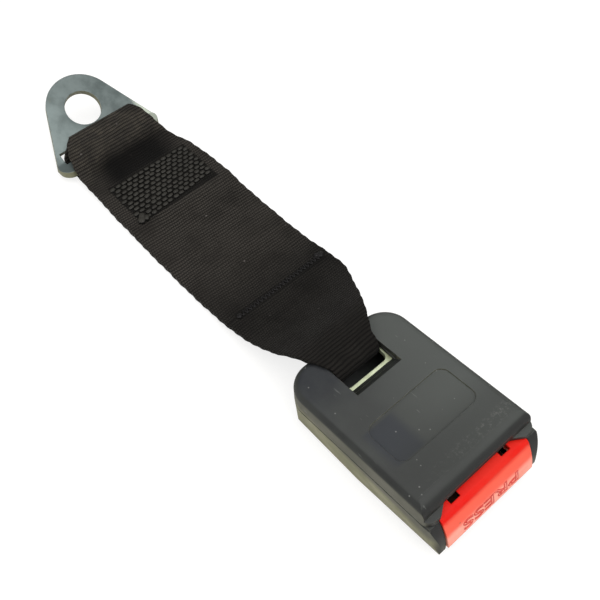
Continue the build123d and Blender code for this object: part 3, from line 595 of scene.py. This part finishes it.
def webbing_cloth():
    """Black woven cloth: browner on its ribs near the anchor, darker towards the buckle, and with painted
    shade in its rib hollows, its dip and round its stitches.
    """
    material, tree, shader = plain_material("webbing")
    woven = add(tree, "Group", node_tree=weave)
    dusty = add(tree, "Group", {"Scale": 330.0, "Share": 0.10}, node_tree=dust)
    spot = object_place(tree)
    height = woven.outputs["Height"]
    # Painted shade: the hollows between the ribs are darker than their tops.
    colour = tint(tree, height, (0.0040, 0.0035, 0.0032), (0.047, 0.042, 0.036))
    slow = ramp(tree, noise(tree, spot, 60, 4, 0.6), 0.35, 0.68)
    colour = tint(tree, times(tree, slow, 0.25), colour, (0.030, 0.027, 0.023))
    # Browner patches on the raised ribs near the anchor plate.
    brown_patches = ramp(tree, noise(tree, spot, 220, 5, 0.7), 0.40, 0.66)
    brown = times(tree, placed(tree, "X", -124, -133), brown_patches, height)
    colour = tint(tree, times(tree, brown, 0.55), colour, (0.085, 0.074, 0.056))
    colour = tint(tree, times(tree, woven.outputs["Fray"], 0.16), colour, (0.080, 0.070, 0.062))
    colour = tint(tree, times(tree, dusty.outputs["Specks"], 0.5), colour, (0.18, 0.16, 0.15))
    # Darker towards the buckle, and painted shade in the dip, under the stitch block and along the zigzag
    # seam.
    taper = times(tree, placed(tree, "X", -66, -30), 0.62)
    seam = times(tree, within(tree, "X", -37.2, -33.8, 1.0), within(tree, "Y", -13, 27), 0.75)
    dip_painted_shade = times(tree, within(tree, "X", -128.5, -121, 6.5), within(tree, "Y", -4, 15, 12.0), 0.90)
    block = times(tree, within(tree, "X", -118.6, -95.5, 0.8), within(tree, "Y", -11.6, 24.6, 0.8), 0.75)
    dark = math(tree, "MAXIMUM", math(tree, "MAXIMUM", taper, dip_painted_shade), math(tree, "MAXIMUM", block, seam))
    colour = tint(tree, dark, colour, (0.0022, 0.0021, 0.0020))
    finish(tree, shader, colour, 0.85, height, 0.00030, plain_normal(tree), 0.06)
    shader.inputs["Sheen Weight"].default_value = 0.02
    return material


webbing = webbing_cloth()

# %% [markdown]
# Each station below is a place on the middle of the cloth: how far along, how high, and where its near and
# far edges are. The upper ply starts under the seam, climbs over the stitched layers, puffs up over the
# anchor plate, turns down through the plate's slot and round its bar, and ends flat under the strap.

# %% Three lengths of webbing
SEAM_X = -35.5
NEAR, FAR = -17.3, 29.7
seam_upper, seam_lower = (SEAM_X, 5.63, NEAR, FAR), (SEAM_X, 4.37, NEAR, FAR)
UPPER = [
    seam_upper, (-46, 3.35, NEAR, FAR), (-58, 2.2, NEAR, FAR), (-72, 1.9, NEAR, FAR),
    (-84, 1.95, NEAR, FAR), (-89, 2.2, NEAR, FAR), (-93, 3.0, NEAR, 29.6), (-98, 3.15, NEAR, 29.5),
    (-108, 3.15, -17.1, 29.1), (-118, 3.12, -17.0, 28.0), (-122, 2.95, -17.1, 27.0),
    (-126, 3.2, -17.2, 25.8), (-130, 4.6, -17.1, 24.4), (-134, 7.2, -16.7, 23.0),
    (-138.3, 9.6, -15.8, 21.9), (-142.4, 10.85, -13.7, 20.6), (-145.4, 11.0, -10.9, 18.8),
    (-146.5, 10.25, -10.2, 18.2), (-145.2, 9.5, -12.0, 19.0), (-143.2, 8.3, -14.6, 20.4),
    (-142.0, 6.2, -16.6, 21.4), (-141.5, 4.2, -16.9, 21.7), (-140.5, 2.1, -16.8, 21.7),
    (-138.5, 0.95, -16.4, 22.0), (-136, 0.68, -16.0, 22.4), (-126, 0.66, -16.0, 25.8),
    (-112, 0.66, -16.8, 28.0), (-94.6, 0.66, -17.1, 28.8),
]
LOWER = [
    seam_lower, (-46, 2.1, NEAR, FAR), (-58, 1.0, NEAR, FAR), (-72, 0.66, NEAR, FAR),
    (-88, 0.68, NEAR, FAR), (-91.5, 1.2, NEAR, FAR), (-94.5, 1.85, NEAR, FAR),
    (-106, 1.91, -17.1, 29.2), (-119, 1.91, -16.8, 28.0),
]
NECK = [
    seam_lower, (-26, 6.55, -16.6, 28.9), (-15, 10.3, -14.6, 21.4), (-8, 12.0, -11.6, 14.2),
    (-1.5, 12.5, -8.9, 9.0), (5.25, 12.3, -8.4, 8.4), (8.6, 13.2, -8.4, 8.4), (10.7, 16.2, -8.5, 8.5),
    (10.9, 18.9, -8.9, 8.9), (9.4, 20.9, -9.2, 9.2), (6.6, 21.6, -9.9, 9.9), (3.0, 21.55, -11.6, 12.0),
    (0, 21.2, -13.2, 14.0), (-3, 20.5, -14.0, 16.0), (-6, 19.1, -14.7, 17.9), (-10, 16.3, -15.5, 20.4),
    (-15, 13.1, -16.2, 23.2), (-20, 10.3, -16.8, 26.2), (-27, 7.75, -17.2, 29.0), seam_upper,
]
upper, upper_length = ribbon("webbing_upper", UPPER, webbing)
lower, lower_length = ribbon("webbing_lower", LOWER, webbing)
neck, neck_length = ribbon("webbing_neck", NECK, webbing)
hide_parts("webbing_upper_ply", "webbing_anchor_loop")
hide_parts("webbing_lower_ply")
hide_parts("webbing_buckle_loop")
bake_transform(upper)
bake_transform(neck)
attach(lower, "webbing")

# %% [markdown]
# ## The stitching
# Two seams hold the plies together: a dense block of short thick stitches near the anchor, laid like
# bricks, and a zigzag row near the buckle. Each stitch is a small sphere, made plump by a power of its
# coordinates, stretched along the thread and half sunk in the cloth. A shape that is repeated this often
# has only a few dozen faces.

# %% Thread finish and one stitch


def thread_finish(name, light):
    """Black thread with painted shade where it does not face up, and as light on top as the given colour."""
    material, tree, shader = plain_material(name)
    grainy = add(tree, "Group", {"Scale": 4200.0}, node_tree=grain)
    # Painted shade: the thread is near black where it does not face up.
    colour = tint(tree, facing_share(tree, "Z", 0.3, 0.97), (0.0015, 0.0014, 0.0013), light)
    duller = tuple(0.5 * c for c in light)
    colour = tint(tree, times(tree, grainy.outputs["Tone"], 0.5), colour, duller)
    finish(tree, shader, colour, 0.5, grainy.outputs["Height"], 0.00008, plain_normal(tree), 0.2)
    return material


thread = thread_finish("thread", (0.031, 0.029, 0.024))
black_thread = thread_finish("black_thread", (0.010, 0.009, 0.009))


def stitch(bm, x, y, z, turn, length, width, height, climb=0.0):
    """One stitch: a small plump pad, stretched along its thread, turned and tilted to climb with x."""
    shape = Matrix.Diagonal((width / 2 * MM, length / 2 * MM, height / 2 * MM, 1))
    turned = Matrix.Rotation(-climb, 4, "Y") @ Matrix.Rotation(turn, 4, "Z") @ shape
    for vertex in bmesh.ops.create_uvsphere(bm, u_segments=8, v_segments=6, radius=1)["verts"]:
        plump = Vector([c / max(abs(c), 1e-9) * abs(c) ** 0.62 for c in vertex.co])
        vertex.co = at(x, y, z) + turned @ plump


upper_path = smooth_path(UPPER)[1]


def skin(x):
    """The height of the upper ply's top surface at x."""
    first_run = upper_path[: int(np.argmin(upper_path[:, 0]))]
    return float(np.interp(-x, -first_run[:, 0], first_run[:, 1])) + CLOTH / 2


# %% Stitch block
random = np.random.default_rng(11)
ROWS, STITCHES = 11, 13
bm = bmesh.new()
for row in range(ROWS):
    for k in range(STITCHES):
        y = -10.8 + (k + 0.5 * (row % 2)) * 2.76
        x = -118.0 + (row + 0.5) / ROWS * (23.2 - 3.2 * k / STITCHES)
        jitter = random.normal(0, 1, 4)
        size = (2.6 + 0.12 * jitter[0], 1.65 + 0.12 * jitter[1], 1.3)
        z = skin(x) + 0.05
        stitch(bm, x + 0.1 * jitter[2], y + 0.1 * jitter[3], z, 0.08 * jitter[0], *size)
for x, y, size in ((-96.2, -11.2, 3.0), (-97.6, -10.2, 2.6), (-95.8, -9.2, 2.2)):
    stitch(bm, x, y, skin(x) + 0.3, 0.9, size * 1.3, size, 1.9)
block = piece_from(bm, "stitch_block", thread)
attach(block, "webbing")
print("stitch block:", ROWS * STITCHES, "stitches")

# %% Zigzag seam
bm = bmesh.new()
ZIGS, ZIG_START, ZIG_END, ZIG_LENGTH = 46, -12.0, 26.2, 2.7
SLOPE, CLIMB = 0.23, radians(13)  # how steeply the cloth climbs at the seam
for k in range(ZIGS):
    y = ZIG_START + (ZIG_END - ZIG_START) * k / (ZIGS - 1)
    x = SEAM_X - 0.02 * (y - ZIG_START)
    lean = (0.33 if k % 2 else -0.33) + pi / 2
    wobble = random.normal(0, 0.06, 2)
    z = skin(SEAM_X) + (x - SEAM_X) * SLOPE
    stitch(bm, x + wobble[0], y, z + 0.05, lean + wobble[1], ZIG_LENGTH, 0.62, 0.75, CLIMB)
    stitch(bm, x, y, z - 2 * CLOTH - 0.05, lean, ZIG_LENGTH, 0.55, 0.5, CLIMB)
for x, y, size in ((-36.6, 26.6, 2.4), (-37.4, 25.4, 1.8), (-35.4, -12.2, 2.0)):
    z = skin(SEAM_X) + (x - SEAM_X) * SLOPE + 0.15
    stitch(bm, x, y, z, 0.9, size * 1.25, size, 1.1, CLIMB)
seam = piece_from(bm, "zigzag_seam", black_thread)
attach(seam, "webbing")

# %% [markdown]
# ## The word on the button
# Such a button says what to do, in plain letters moulded as fine raised outlines. A text object gives
# the outlines as thin round lines. It becomes a mesh, each of whose points is then laid onto the button:
# a ray from the front finds the face there and the direction it faces.

# %% Button lettering
WORD_LEFT, WORD_WIDTH, WORD_LOW, WORD_HEIGHT = 12.2, 24.2, 13.0, 4.3
letter_red, tree, shader = plain_material("letter_red")
spot = object_place(tree)
rubbed = ramp(tree, noise(tree, spot, 500, 4, 0.7), 0.45, 0.7)
colour = tint(tree, times(tree, rubbed, 0.6), (0.60, 0.060, 0.045), (0.86, 0.28, 0.21))
finish(tree, shader, colour, 0.5, noise(tree, spot, 3000), 0.00001, plain_normal(tree), 0.2)
button = nodes["release_button"]
inward = button.matrix_world.inverted()


def on_face(y, z):
    """The button's surface point and its direction, found from the front at a width and a height."""
    hit, spot, normal, _ = button.ray_cast(inward @ at(120, y, z), inward.to_3x3() @ Vector((-1, 0, 0)))
    return button.matrix_world @ spot, (button.matrix_world.to_3x3() @ normal).normalized()


print("face at heights 17 to 8:", [round((on_face(0, z)[0].x - REAR_X) / MM, 2) for z in (17, 14, 12, 10, 8)])
words = bpy.data.curves.new("press", "FONT")
words.body, words.fill_mode = "PRESS", "NONE"
words.bevel_depth, words.bevel_resolution, words.resolution_u = 0.030, 1, 4
text = bpy.data.objects.new("press_text", words)
scene.collection.objects.link(text)
bm = bmesh.new()
bm.from_mesh(bpy.data.meshes.new_from_object(text.evaluated_get(bpy.context.evaluated_depsgraph_get())))
bpy.data.objects.remove(text)
flat = np.array([v.co for v in bm.verts])
low, high = flat.min(0), flat.max(0)
for vertex in bm.verts:
    across = (vertex.co.x - low[0]) / (high[0] - low[0])
    down = (vertex.co.y - low[1]) / (high[1] - low[1])
    place, facing = on_face(WORD_LEFT - WORD_WIDTH * across, WORD_LOW - WORD_HEIGHT * down)
    vertex.co = place + facing * vertex.co.z * 6 * MM
bmesh.ops.remove_doubles(bm, verts=bm.verts, dist=1e-6)
bmesh.ops.recalc_face_normals(bm, faces=bm.faces)
letters = piece_from(bm, "press_letters", letter_red)
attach(letters, "button")
print("letters:", len(letters.data.polygons), "faces")
